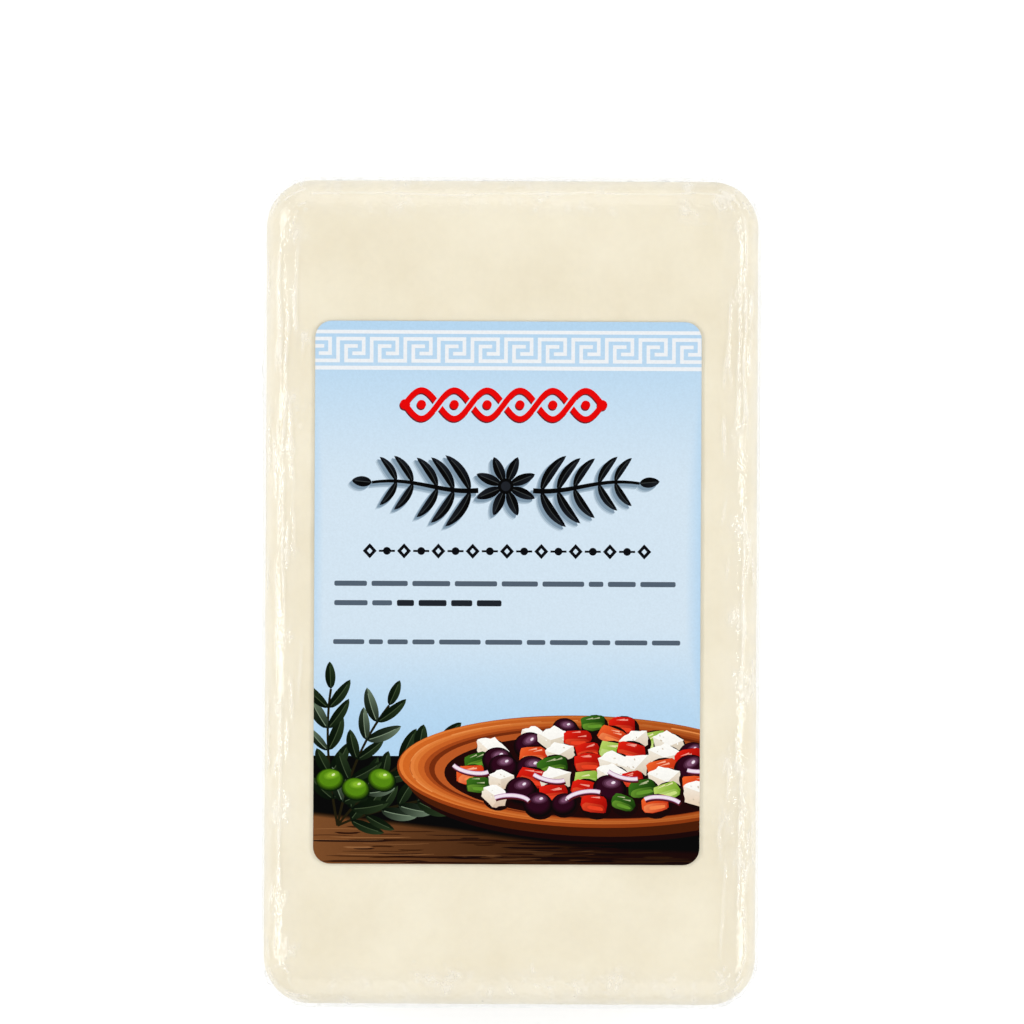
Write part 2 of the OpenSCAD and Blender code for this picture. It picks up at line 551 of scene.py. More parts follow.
def set_socket(tree, node, name, value):
    """Links or sets one input, named with underscores for spaces."""
    socket = node.inputs[name.replace("_", " ")] if isinstance(name, str) else node.inputs[name]
    if isinstance(value, bpy.types.NodeSocket):
        tree.links.new(value, socket)
    else:
        socket.default_value = value


def linear(red, green, blue):
    """A linear colour from 0 to 255 screen values."""
    values = []
    for value in (red, green, blue):
        value = value / 255
        low = value / 12.92
        high = ((value + 0.055) / 1.055) ** 2.4
        values.append(low if value <= 0.04045 else high)
    return tuple(values)


def with_alpha(colour):
    """A colour as an opaque one of four numbers."""
    return (*colour, 1.0)


def cheese_material():
    """Moist cream cheese: soft mottling, tiny pits and a little light let in."""
    material, tree, output, add = new_material("feta_cheese")
    place = add("ShaderNodeTexCoord").outputs["Object"]
    broad = add("ShaderNodeTexNoise", Vector=place, Scale=38.0, Detail=4.0, Roughness=0.55)
    small = add("ShaderNodeTexNoise", Vector=place, Scale=420.0, Detail=3.0, Roughness=0.6)
    tone = add("ShaderNodeValToRGB", Fac=broad.outputs["Fac"])
    tone.color_ramp.elements[0].position = 0.3
    tone.color_ramp.elements[1].position = 0.7
    tone.color_ramp.elements[0].color = with_alpha(CHEESE_DEEP)
    tone.color_ramp.elements[1].color = with_alpha(CHEESE_PALE)
    grain = ranged(add, small.outputs["Fac"], 0.3, 0.7, 0.985, 1.01)
    tint = scaled(tree, tone.outputs["Color"], grain)
    pits = add("ShaderNodeTexVoronoi", Vector=place, Scale=260.0)
    bump = add("ShaderNodeBump", Height=pits.outputs["Distance"], Strength=0.06, Distance=0.0004)
    shader = add(
        "ShaderNodeBsdfPrincipled", Base_Color=tint, Roughness=0.55,
        Normal=bump.outputs["Normal"],
    )
    shader.inputs["Specular IOR Level"].default_value = 0.25
    shader.inputs["Subsurface Weight"].default_value = 0.25
    shader.inputs["Subsurface Radius"].default_value = (1.0, 0.95, 0.8)
    shader.inputs["Subsurface Scale"].default_value = 0.004
    tree.links.new(shader.outputs[0], output.inputs["Surface"])
    return material


def scaled(tree, colour, factor):
    """A colour socket times a number socket."""
    node = tree.nodes.new("ShaderNodeVectorMath")
    node.operation = "SCALE"
    tree.links.new(colour, node.inputs[0])
    tree.links.new(factor, node.inputs["Scale"])
    return node.outputs[0]


def maths(tree, operation, first, second):
    """A Math node's output for two numbers or sockets."""
    node = tree.nodes.new("ShaderNodeMath")
    node.operation = operation
    for socket, value in zip(node.inputs, (first, second)):
        if isinstance(value, bpy.types.NodeSocket):
            tree.links.new(value, socket)
        else:
            socket.default_value = value
    return node.outputs[0]


def ranged(add, value, low, high, first, last):
    """value taken from low to high into first to last."""
    node = add("ShaderNodeMapRange", Value=value)
    for name, number in (("From Min", low), ("From Max", high), ("To Min", first), ("To Max", last)):
        node.inputs[name].default_value = number
    return node.outputs["Result"]


def film_material():
    """Thin clear film: it mirrors by angle, its creases are a little milky, and its side walls are
    painted greyer as shade.
    """
    material, tree, output, add = new_material("clear_film")
    place = add("ShaderNodeTexCoord").outputs["Object"]
    haze = add("ShaderNodeAttribute")
    haze.attribute_name = "haze"
    haze = haze.outputs["Fac"]
    ripple = add("ShaderNodeTexNoise", Vector=place, Scale=150.0, Detail=3.0, Roughness=0.5)
    ripple = ripple.outputs["Fac"]
    crinkle = add("ShaderNodeTexNoise", Vector=place, Scale=420.0, Detail=2.0, Roughness=0.6)
    sharp = maths(tree, "ABSOLUTE", maths(tree, "SUBTRACT", crinkle.outputs["Fac"], 0.5), 0.0)
    sharp = maths(tree, "MULTIPLY", sharp, maths(tree, "MULTIPLY", haze, -2.4))
    height = maths(tree, "ADD", maths(tree, "MULTIPLY", ripple, 0.35), sharp)
    bump = add("ShaderNodeBump", Height=height, Strength=0.5, Distance=0.0008)
    mottle = ranged(add, ripple, 0.35, 0.65, 0.6, 1.0)
    share = maths(tree, "MULTIPLY", maths(tree, "MULTIPLY", haze, mottle), 0.42)
    # Painted shade: on the side walls the film lets a little less through, so the loaf's rim looks
    # grey.
    wall_shade = add("ShaderNodeAttribute")
    wall_shade.attribute_name = "wall_shade"
    depth = add("ShaderNodeValToRGB", Fac=wall_shade.outputs["Fac"])
    depth.color_ramp.elements[0].color = (0.995, 0.995, 0.995, 1)
    depth.color_ramp.elements[1].color = (0.965, 0.965, 0.962, 1)
    clear = add("ShaderNodeBsdfTransparent", Color=depth.outputs["Color"])
    # Painted shade: the milky white is greyer on the side walls.
    tone = add("ShaderNodeValToRGB", Fac=wall_shade.outputs["Fac"])
    tone.color_ramp.elements[0].color = (0.94, 0.93, 0.895, 1)
    tone.color_ramp.elements[1].color = (0.81, 0.81, 0.795, 1)
    white = add("ShaderNodeBsdfDiffuse", Color=tone.outputs["Color"])
    body = add("ShaderNodeMixShader", Fac=share)
    tree.links.new(clear.outputs[0], body.inputs[1])
    tree.links.new(white.outputs[0], body.inputs[2])
    gloss = add("ShaderNodeBsdfAnisotropic", Color=(1, 1, 1, 1), Roughness=0.1)
    tree.links.new(bump.outputs["Normal"], gloss.inputs["Normal"])
    fresnel = add("ShaderNodeFresnel", IOR=1.5)
    tree.links.new(bump.outputs["Normal"], fresnel.inputs["Normal"])
    side = add("ShaderNodeNewGeometry")
    outside = maths(tree, "SUBTRACT", 1.0, side.outputs["Backfacing"])
    mirror = maths(tree, "MULTIPLY", fresnel.outputs[0], outside)
    surface = add("ShaderNodeMixShader", Fac=mirror)
    tree.links.new(body.outputs[0], surface.inputs[1])
    tree.links.new(gloss.outputs[0], surface.inputs[2])
    tree.links.new(surface.outputs[0], output.inputs["Surface"])
    return material


def give(piece, material):
    """Makes material the piece's only one."""
    piece.data.materials.clear()
    piece.data.materials.append(material)


# ---------------------------------------------------------------- the label's print
#
# The print is a stack of plain shapes, drawn from the bottom up. Places on the label are in
# millimetres, rightwards from its left edge and down from its top edge.

def ink(red, green, blue):
    """The paint that looks like this screen colour under the scene's lamps."""
    return tuple(max(value - LABEL_SHEEN, 0.0) / LABEL_LIGHT for value in linear(red, green, blue))


def blend(a, b, t):
    """The colour that lies t of the way from a to b."""
    return tuple(p + (q - p) * t for p, q in zip(a, b))


def plain(colour):
    """One colour all over a shape."""
    return lambda u, v: colour


def ramp(start, end, first, last):
    """A colour that runs evenly from one place to another."""
    along = (end[0] - start[0], end[1] - start[1])
    length = along[0] ** 2 + along[1] ** 2

    def shade(u, v):
        t = ((u - start[0]) * along[0] + (v - start[1]) * along[1]) / length
        return blend(first, last, min(max(t, 0.0), 1.0))

    return shade


def eased(value, low, high):
    """0 below low, 1 above high, and a smooth step between, for one number."""
    t = min(max((value - low) / (high - low), 0.0), 1.0)
    return t * t * (3 - 2 * t)


def sky(u, v):
    """The printed sky: pale round the middle, bluer at the top and the bottom."""
    return blend(SKY_BLUE, SKY_PALE, eased(v, -10, 60) - eased(v, 98, 138))


def turned(points, centre, tilt):
    """Points about the origin, turned by tilt degrees and moved to centre."""
    c, s = math.cos(math.radians(tilt)), math.sin(math.radians(tilt))
    return [(centre[0] + c * a - s * b, centre[1] + s * a + c * b) for a, b in points]


def oval(centre, rx, ry, tilt=0.0, count=20):
    """An ellipse's outline."""
    steps = [2 * math.pi * i / count for i in range(count)]
    return turned([(rx * math.cos(a), ry * math.sin(a)) for a in steps], centre, tilt)


def block(u0, v0, u1, v1):
    """A rectangle's outline."""
    return [(u0, v0), (u1, v0), (u1, v1), (u0, v1)]


def rounded(u0, v0, u1, v1, radius, steps=6):
    """A rectangle's outline with round corners."""
    points = []
    centres = [(u1 - radius, v1 - radius), (u0 + radius, v1 - radius),
               (u0 + radius, v0 + radius), (u1 - radius, v0 + radius)]
    for k, (cu, cv) in enumerate(centres):
        for i in range(steps + 1):
            angle = math.pi / 2 * (k + i / steps)
            points.append((cu + radius * math.cos(angle), cv + radius * math.sin(angle)))
    return points


def stroke(points, width):
    """The outline of a line of that width, with mitred corners. width may be a list."""
    widths = width if isinstance(width, list) else [width] * len(points)
    left, right = [], []
    for i, (u, v) in enumerate(points):
        before = points[max(i - 1, 0)]
        after = points[min(i + 1, len(points) - 1)]
        ways = []
        for a, b in ((before, (u, v)), ((u, v), after)):
            length = math.hypot(b[0] - a[0], b[1] - a[1])
            if length > 1e-9:
                ways.append(((b[0] - a[0]) / length, (b[1] - a[1]) / length))
        mean = (sum(w[0] for w in ways), sum(w[1] for w in ways))
        length = math.hypot(*mean)
        mean = (mean[0] / length, mean[1] / length)
        reach = 0.5 * widths[i] / max(mean[0] * ways[0][0] + mean[1] * ways[0][1], 0.4)
        left.append((u - mean[1] * reach, v + mean[0] * reach))
        right.append((u + mean[1] * reach, v - mean[0] * reach))
    return left + right[::-1]


def curve(start, bend, end, steps=10):
    """Points of a smooth curve from start to end that leans towards bend."""
    points = []
    for i in range(steps + 1):
        t = i / steps
        a, b, c = (1 - t) ** 2, 2 * t * (1 - t), t * t
        points.append(tuple(a * p + b * q + c * r for p, q, r in zip(start, bend, end)))
    return points


def arc(centre, rx, ry, first, last, tilt=0.0, steps=14):
    """Points of an ellipse's arc between two angles, in degrees."""
    angles = [math.radians(first + (last - first) * i / steps) for i in range(steps + 1)]
    return turned([(rx * math.cos(a), ry * math.sin(a)) for a in angles], centre, tilt)


class Print:
    """The stack of printed shapes."""

    def __init__(self):
        self.shapes = []

    def add(self, outline, shade):
        self.shapes.append((outline, shade if callable(shade) else plain(shade)))

    def leaf(self, base, tip, width, bend, dark, light):
        """A blunt leaf of two halves, with a fine rib."""
        middle = ((base[0] + tip[0]) / 2, (base[1] + tip[1]) / 2)
        way = (tip[0] - base[0], tip[1] - base[1])
        hook = (middle[0] - way[1] * bend, middle[1] + way[0] * bend)
        rib = curve(base, hook, tip, 12)
        half = [0.5 * width * math.sin(math.pi * (i / 12) ** 0.9) ** 0.65 for i in range(13)]
        outline = stroke(rib, [2 * value + 0.02 for value in half])
        self.add(outline, ramp(base, tip, dark, blend(dark, light, 0.35)))
        count = len(rib)
        self.add(outline[:count] + rib[::-1], ramp(base, tip, blend(dark, light, 0.25), light))
        self.add(stroke(rib[1:11], 0.12 + 0.03 * width), blend(light, (190, 200, 165), 0.15))

    def fruit(self, centre, rx, ry, tilt, tones):
        """An olive: a dark rim below, an even face, and light on its upper side."""
        dark, middle, light, glint = tones
        self.add(oval(centre, rx, ry, tilt, 26), dark)
        steps = [(0.94, 0.05, 0.25), (0.88, 0.09, 0.5), (0.81, 0.13, 0.75), (0.73, 0.17, 1.0)]
        for size, rise, share in steps:
            place = (centre[0] - 0.03 * rx, centre[1] - rise * ry)
            self.add(oval(place, rx * size, ry * size, tilt, 24), blend(dark, middle, share))
        for size, share in ((0.46, 0.3), (0.36, 0.6), (0.26, 1.0)):
            place = (centre[0] + 0.10 * rx, centre[1] - 0.42 * ry)
            outline = oval(place, rx * size * 1.2, ry * size * 0.8, tilt - 12, 18)
            self.add(outline, blend(middle, light, share))
        place = (centre[0] + 0.22 * rx, centre[1] - 0.46 * ry)
        self.add(oval(place, 0.13 * rx, 0.10 * ry, tilt - 30, 10), glint)

    def cube(self, centre, width, height, tilt, pick):
        """A crumbly cube of feta, seen from a corner."""
        spread = [pick.uniform(-0.11, 0.11) for _ in range(14)]
        middle = (0.04 + spread[0], 0.04 + spread[1])
        corners = [(-0.5, -0.2 + spread[2]), (-0.08 + spread[3], -0.5), (0.5, -0.22 + spread[4]),
                   (0.45 + 0.5 * spread[8], 0.27 + spread[5]), (0.02 + 1.5 * spread[6], 0.5),
                   (-0.45 + 0.5 * spread[9], 0.24 + spread[7])]
        warm = pick.uniform(0, 1)
        shades = [
            ((254, 253, 248), (243, 240, 232)),
            ((245, 240, 229), blend((222, 212, 192), (232, 206, 178), warm)),
            ((238, 232, 220), blend((208, 192, 166), (214, 186, 160), warm)),
        ]
        sides = [[corners[0], corners[1], corners[2], middle],
                 [corners[0], middle, corners[4], corners[5]],
                 [middle, corners[2], corners[3], corners[4]]]
        top = (centre[0], centre[1] - height / 2)
        low = (centre[0], centre[1] + height / 2)
        for points, (first, last) in zip(sides, shades):
            ragged = []
            for a, b in zip(points, points[1:] + points[:1]):
                ragged.append(a)
                if a != middle and b != middle:
                    for t in (0.25, 0.5, 0.72):
                        push = pick.uniform(-0.035, 0.035)
                        ragged.append((a[0] + (b[0] - a[0]) * t + push,
                                       a[1] + (b[1] - a[1]) * t + push))
            placed = turned([(a * width, b * height) for a, b in ragged], centre, tilt)
            self.add(placed, ramp(top, low, first, last))
        for _ in range(5):
            place = [(pick.uniform(-0.34, 0.34) * width, pick.uniform(-0.3, 0.34) * height)]
            size = pick.uniform(0.2, 0.5)
            tone = pick.choice([(222, 212, 195), (255, 254, 250), (206, 190, 168)])
            spot = turned(place, centre, tilt)[0]
            self.add(oval(spot, size, 0.5 * size, pick.uniform(0, 90), 7), tone)

    def chunk(self, centre, width, height, tilt, tones, pick):
        """A cut piece of tomato or pepper: a shaded face, its cut side and wet streaks."""
        light, dark, cut = tones
        points = []
        for i in range(11):
            a = 2 * math.pi * (i + pick.uniform(-0.3, 0.3)) / 11
            r = pick.uniform(0.88, 1.06)
            c, s = math.cos(a), math.sin(a)
            points.append((0.5 * width * r * math.copysign(abs(c) ** 0.6, c),
                           0.5 * height * r * math.copysign(abs(s) ** 0.6, s)))
        placed = turned(points, centre, tilt)
        top = turned([(-0.3 * width, -0.5 * height)], centre, tilt)[0]
        low = turned([(0.3 * width, 0.5 * height)], centre, tilt)[0]
        self.add(placed, ramp(top, low, light, dark))
        lower = [(0.88 * a, b * 0.5 + 0.22 * height) for a, b in points]
        self.add(turned(lower, centre, tilt), ramp(top, low, cut, blend(cut, dark, 0.8)))
        inner = [(0.6 * a + 0.06 * width, b * 0.22 + 0.22 * height) for a, b in points]
        self.add(turned(inner, centre, tilt), blend(cut, light, 0.35))
        for _ in range(2):
            u, v = pick.uniform(-0.3, 0.05) * width, pick.uniform(-0.36, -0.12) * height
            streak = turned([(u, v), (u + 0.3 * width, v - 0.06 * height)], centre, tilt)
            self.add(stroke(streak, [0.06, 0.09 * height]), blend(light, (255, 232, 214), 0.6))

    def onion(self, line, width):
        """Part of an onion ring: a purple skin round pale flesh."""
        self.add(stroke(line, width), (166, 104, 152))
        self.add(stroke(line, 0.80 * width), (226, 202, 220))
        self.add(stroke(line, 0.52 * width), (240, 228, 236))


def print_border(sheet):
    """White lines and a meander between them, across the label's top."""
    white = (238, 241, 244)
    sheet.add(block(-1, 3.0, 128, 4.2), white)
    sheet.add(block(-1, 14.8, 128, 16.1), white)
    step, pitch, top, first = 1.2, 11.04, 5.9, 7.5
    path = [(-3.8, 2), (-7, 2), (-7, 6), (0, 6), (0, 0), (7, 0), (7, 4), (3.9, 4)]
    for k in range(-1, 13):
        line = [(first + k * pitch + a * step, top + b * step) for a, b in path]
        sheet.add(stroke(line, step), white)


def print_braid(sheet):
    """A red braid of two strands with a dot in each eye, where a name would be."""
    start, eye, middle, swing = 29.6, 10.8, 27.4, 4.7
    red, shadow = (230, 10, 12), (112, 30, 38)

    def strand(knot, way, shift):
        """The points of a strand on its way through one crossing."""
        line = []
        for i in range(15):
            phase = knot + (i - 7) / 12.6
            if -0.02 < phase < 6.02:
                lift = way * swing * math.sin(math.pi * phase)
                line.append((start + eye * phase - 0.5 * shift, middle + lift + shift))
        return line

    for shift, colour in ((0.45, shadow), (0.0, red)):
        for knot in range(7):
            over = 1 if knot % 2 else -1
            for way in (-over, over):
                line = strand(knot, way, shift)
                if way == over and not shift and 0 < knot < 6:
                    sheet.add(stroke(line[5:10], 2.9), sky)
                sheet.add(stroke(line, 1.9), colour)
        for k in range(6):
            sheet.add(oval((start + eye * (k + 0.5) - 0.5 * shift, middle + shift), 1.5, 1.5), colour)
        for place in (start, start + 6 * eye):
            sheet.add(oval((place - 0.5 * shift, middle + shift), 1.7, 1.7), colour)


def print_garland(sheet):
    """A black sprig with a flower in its middle, and its soft shadow, as the title."""
    soft = [(1.5, 0.25, (190, 208, 222)), (1.1, 0.6, (160, 180, 196)), (0.8, 0.2, (128, 150, 168))]
    for shift, grow, tone in soft + [(0.0, 0.0, None)]:
        dark = tone or (4, 5, 6)
        light = tone or (34, 37, 43)
        for side in (-1, 1):
            stem = [(62.8 + side * s - shift, 54.2 + 1.6 * math.sin(s / 8.0) + shift)
                    for s in np.linspace(9, 44, 14)]
            sheet.add(stroke(stem, [1.7 - 0.06 * i + grow for i in range(14)]), dark)
            for k in range(5):
                foot = stem[1 + 2 * k + k // 3]
                reach = 13.6 - 1.1 * k
                for way in (-1, 1):
                    tip = (foot[0] + side * 0.60 * reach, foot[1] + 0.86 * reach * way)
                    bend = 0.16 * side * way
                    sheet.leaf(foot, tip, 3.2 - 0.2 * k + grow, bend, dark, light)
            last = stem[-1]
            tip = (last[0] + side * 6.6, last[1] - 0.6)
            sheet.leaf(last, tip, 3.4 + grow, 0.0, dark, light)
        centre = (62.8 - shift, 54.2 + shift)
        for k in range(8):
            angle = 2 * math.pi * (k + 0.5) / 8
            tip = (centre[0] + 10.4 * math.cos(angle), centre[1] + 10.4 * math.sin(angle))
            foot = (centre[0] + 1.6 * math.cos(angle), centre[1] + 1.6 * math.sin(angle))
            sheet.leaf(foot, tip, 3.4 + grow, 0.0, dark, light)
        sheet.add(oval(centre, 2.6, 2.6, 0, 20), dark)
        sheet.add(oval(centre, 1.6, 1.6, 0, 16), light)


def print_beads(sheet):
    """A thin line of lozenges, dots and dashes under the title."""
    black = (16, 17, 20)
    for k in range(9):
        u = 18.2 + 11.28 * k
        sheet.add([(u - 2.3, 75.6), (u, 73.1), (u + 2.3, 75.6), (u, 78.1)], black)
        sheet.add([(u - 0.9, 75.6), (u, 74.6), (u + 0.9, 75.6), (u, 76.6)], sky)
        if k < 8:
            sheet.add(block(u + 3.0, 75.25, u + 8.28, 75.95), black)
            sheet.add(oval((u + 5.64, 75.6), 1.3, 1.3, 0, 16), black)


def print_lines(sheet):
    """Rows of short bars, as small print looks from afar."""
    pick = random.Random(5)
    grey, bold = (84, 97, 111), (34, 38, 45)
    rows = [
        (86.3, 6.6, 118.8, 1.7, grey), (92.7, 6.6, 25.6, 1.7, grey), (92.7, 27.2, 61.6, 2.0, bold),
        (105.5, 6.3, 120.4, 1.6, grey),
    ]
    for v, start, end, height, colour in rows:
        u = start
        while u < end - 2:
            length = min(pick.uniform(4.5, 14.5), end - u)
            if end - u - length < 4:
                length = end - u
            sheet.add(rounded(u, v - height / 2, u + length, v + height / 2, 0.5, 2), colour)
            u += length + 1.5


def print_table(sheet):
    """A dark ground, and a wooden table top that is lit at its left."""
    ground = (5, 6, 4)
    sheet.add(block(-1, 143, 128, 180), ground)
    layers = 6
    for k in range(layers):
        share = (k + 1) / layers
        drop = 1.8 * share
        edge = [(-1, 161 + drop), (45, 166 + drop), (90, 172 + drop), (128, 173 + drop)]
        lit, dim = blend(ground, (122, 76, 42), share), blend(ground, (30, 14, 7), share)
        sheet.add(edge + [(128, 180), (-1, 180)], ramp((0, 170), (105, 176), lit, dim))
    pick = random.Random(23)
    for _ in range(110):
        u, length = pick.uniform(-10, 118), pick.uniform(6, 34)
        v = pick.uniform(164.5 + 0.09 * max(u + length / 2, 0), 179)
        tone = pick.choice([(46, 22, 10), (66, 36, 18), (152, 102, 62), (30, 14, 6)])
        tone = blend(tone, (20, 9, 5), 0.8 * min(max(u / 90, 0.0), 1.0))
        grain = curve((u, v), (u + length / 2, v + pick.uniform(-0.7, 0.7)), (u + length, v), 6)
        thick = pick.uniform(0.14, 0.6)
        sheet.add(stroke(grain, [0.06] + [thick] * 5 + [0.06]), tone)


def print_sprig(sheet):
    """Twigs with paired leaves, fanned out from the picture's lower left, and some olives."""
    pick = random.Random(41)
    dark, light, silver = (10, 18, 10), (42, 58, 34), (112, 130, 108)
    foot = (8, 166)
    for lean, reach in ((74, 34), (-3, 45), (50, 44), (23, 43)):
        way = math.radians(lean)
        tip = (foot[0] + reach * math.sin(way), foot[1] - reach * math.cos(way))
        bow = (foot[0] + 0.5 * reach * math.sin(way) - 4, foot[1] - 0.6 * reach * math.cos(way))
        twig = curve(foot, bow, tip, 12)
        sheet.add(stroke(twig, 0.8), (34, 30, 16))
        for place in twig[2:12:2]:
            for side in (-1, 1):
                turn = way + side * math.radians(pick.uniform(24, 46))
                length = pick.uniform(9, 13)
                end = (place[0] + length * math.sin(turn), place[1] - length * math.cos(turn))
                tone = silver if pick.random() < 0.14 else light
                sheet.leaf(place, end, pick.uniform(3.0, 4.4), 0.07 * side, dark, tone)
        end = (tip[0] + 9 * math.sin(way), tip[1] - 9 * math.cos(way))
        sheet.leaf(tip, end, 3.4, 0.0, dark, light)
    green = ((14, 28, 4), (84, 134, 20), (134, 182, 46), (214, 232, 164))
    for k in range(3):
        sheet.fruit((5.5 + 8.5 * k, 151 + 3.0 * (k % 2)), 4.8, 3.8, 10 * k, green)


def print_plate(sheet):
    """A terracotta plate, tipped a little towards the viewer."""
    centre, tilt = (90.5, 147.9), 1.5
    sheet.add(oval((92, 153.5), 60, 17.5, tilt, 64), (30, 12, 6))
    sheet.add(oval((92, 151.6), 61.5, 17.6, tilt, 64), (72, 30, 11))
    rims = [
        (0.0, 0.0, 63.0, 18.4, (160, 68, 24)), (0.2, -0.5, 62.6, 17.7, (226, 124, 54)),
        (0.4, -0.4, 61.6, 17.2, (210, 104, 38)), (0.8, -0.1, 59.8, 16.7, (228, 130, 62)),
        (1.0, 0.0, 58.6, 16.3, (220, 120, 52)), (1.2, 0.1, 57.4, 16.0, (204, 100, 40)),
        (1.5, 0.3, 55.6, 15.3, (166, 72, 28)), (1.7, 0.5, 54.2, 14.9, (118, 46, 18)),
        (1.9, 0.8, 52.6, 14.4, (192, 92, 40)),
    ]
    for du, dv, rx, ry, colour in rims:
        place = (centre[0] + du, centre[1] + dv)
        shade = ramp((28, 140), (110, 166), colour, blend(colour, (90, 34, 12), 0.32))
        sheet.add(oval(place, rx, ry, tilt, 72), shade)
    pick = random.Random(9)
    for _ in range(26):
        angle = pick.uniform(150, 330)
        line = arc((centre[0] + 0.8, centre[1]), 59.6, 16.7, angle, angle + pick.uniform(6, 16), tilt)
        tone = pick.choice([(228, 140, 74), (186, 88, 34)])
        sheet.add(stroke(line, pick.uniform(0.15, 0.45)), tone)
    sheet.add(oval((93.5, 149.6), 50.5, 13.6, tilt, 64), (34, 13, 9))


def print_salad(sheet):
    """Pale cubes, olives and cut vegetables, heaped on the plate row by row from the back."""
    pick = random.Random(31)
    tones = {
        "red": ((222, 34, 20), (150, 14, 10), (236, 84, 46)),
        "orange": ((236, 96, 42), (190, 42, 18), (248, 152, 92)),
        "green": ((60, 112, 30), (22, 52, 12), (120, 168, 54)),
        "lime": ((186, 212, 104), (112, 156, 40), (214, 230, 148)),
        "olive": ((14, 3, 9), (46, 12, 28), (128, 84, 112), (236, 222, 234)),
    }
    kinds = ["cube", "olive", "red", "cube", "lime", "olive", "orange", "cube", "green", "red"]
    centre, reach, heap, rows = (93, 149.5), (46, 11.0), 8.5, 7
    bag = []
    for row in range(rows):
        depth = 2 * (row + 0.5) / rows - 1
        half = reach[0] * math.sqrt(1 - depth ** 2)
        count = round(2 * half / 9.0)
        for k in range(count):
            across = 2 * (k + 0.5) / count - 1
            lift = heap * (1 - across ** 2) * (0.5 - 0.5 * depth)
            u = centre[0] + half * across + pick.uniform(-1.8, 1.8)
            v = centre[1] + reach[1] * depth - lift + pick.uniform(-0.9, 0.9)
            bag = bag or pick.sample(kinds, len(kinds))
            kind = bag.pop()
            tilt = pick.uniform(-20, 20)
            size = pick.uniform(0.85, 1.15)
            sheet.add(oval((u + 0.5, v + 0.9), 5.2 * size, 4.2 * size, tilt, 18), (26, 8, 8))
            if kind == "cube":
                sheet.cube((u, v), 10.0 * size, 8.2 * size, tilt, pick)
            elif kind == "olive":
                sheet.fruit((u, v), 5.0 * size, 4.2 * size, tilt, tones[kind])
            else:
                sheet.chunk((u, v), 9.4 * size, 6.0 * size, tilt, tones[kind], pick)
    for k in range(7):
        place = (52 + 12.5 * k, 147 + 10 * (k % 2) + pick.uniform(-2, 2))
        first = pick.uniform(15, 45) + 180 * (k % 2)
        ring = arc(place, 6.6, 2.5, first, first + pick.uniform(95, 125), pick.uniform(-20, 20))
        sheet.add(stroke([(u + 0.3, v + 0.6) for u, v in ring], 1.4), (84, 26, 30))
        sheet.onion(ring, 1.4)


def draw_label():
    """The whole print: outlines and their colours, from the bottom up."""
    sheet = Print()
    width = LABEL_HIGH[0] - LABEL_LOW[0]
    length = LABEL_HIGH[1] - LABEL_LOW[1]
    sheet.add(rounded(0, 0, width, length, LABEL_CORNER, 8), sky)
    print_border(sheet)
    print_braid(sheet)
    print_garland(sheet)
    print_beads(sheet)
    print_lines(sheet)
    print_table(sheet)
    print_sprig(sheet)
    print_plate(sheet)
    print_salad(sheet)
    return sheet.shapes


def uppermost(spots, outlines):
    """The number of the last outline that holds each spot, or -1 outside the first."""
    owner = np.full(len(spots), -1)
    for number, outline in enumerate(outlines):
        ring = np.array(outline)
        low, high = ring.min(axis=0), ring.max(axis=0)
        near = np.nonzero(((spots >= low) & (spots <= high)).all(axis=1))[0]
        u, v = spots[near].T
        turns = np.zeros(len(near), int)
        for (u0, v0), (u1, v1) in zip(ring, np.roll(ring, -1, axis=0)):
            left = (u1 - u0) * (v - v0) - (u - u0) * (v1 - v0)
            turns += (v0 <= v) & (v1 > v) & (left > 0)
            turns -= (v0 > v) & (v1 <= v) & (left < 0)
        inside = near[turns != 0]
        owner[inside if number == 0 else inside[owner[inside] >= 0]] = number
    return owner


def outer_rim(triangles):
    """The vertices round a sheet's outer edge, in order."""
    sides = {}
    for a, b, c in triangles:
        for edge in ((a, b), (b, c), (c, a)):
            if (edge[1], edge[0]) in sides:
                del sides[(edge[1], edge[0])]
            else:
                sides[edge] = True
    after = {a: b for a, b in sides}
    start = next(iter(after))
    rim = [start]
    while after[rim[-1]] != start:
        rim.append(after[rim[-1]])
    return rim


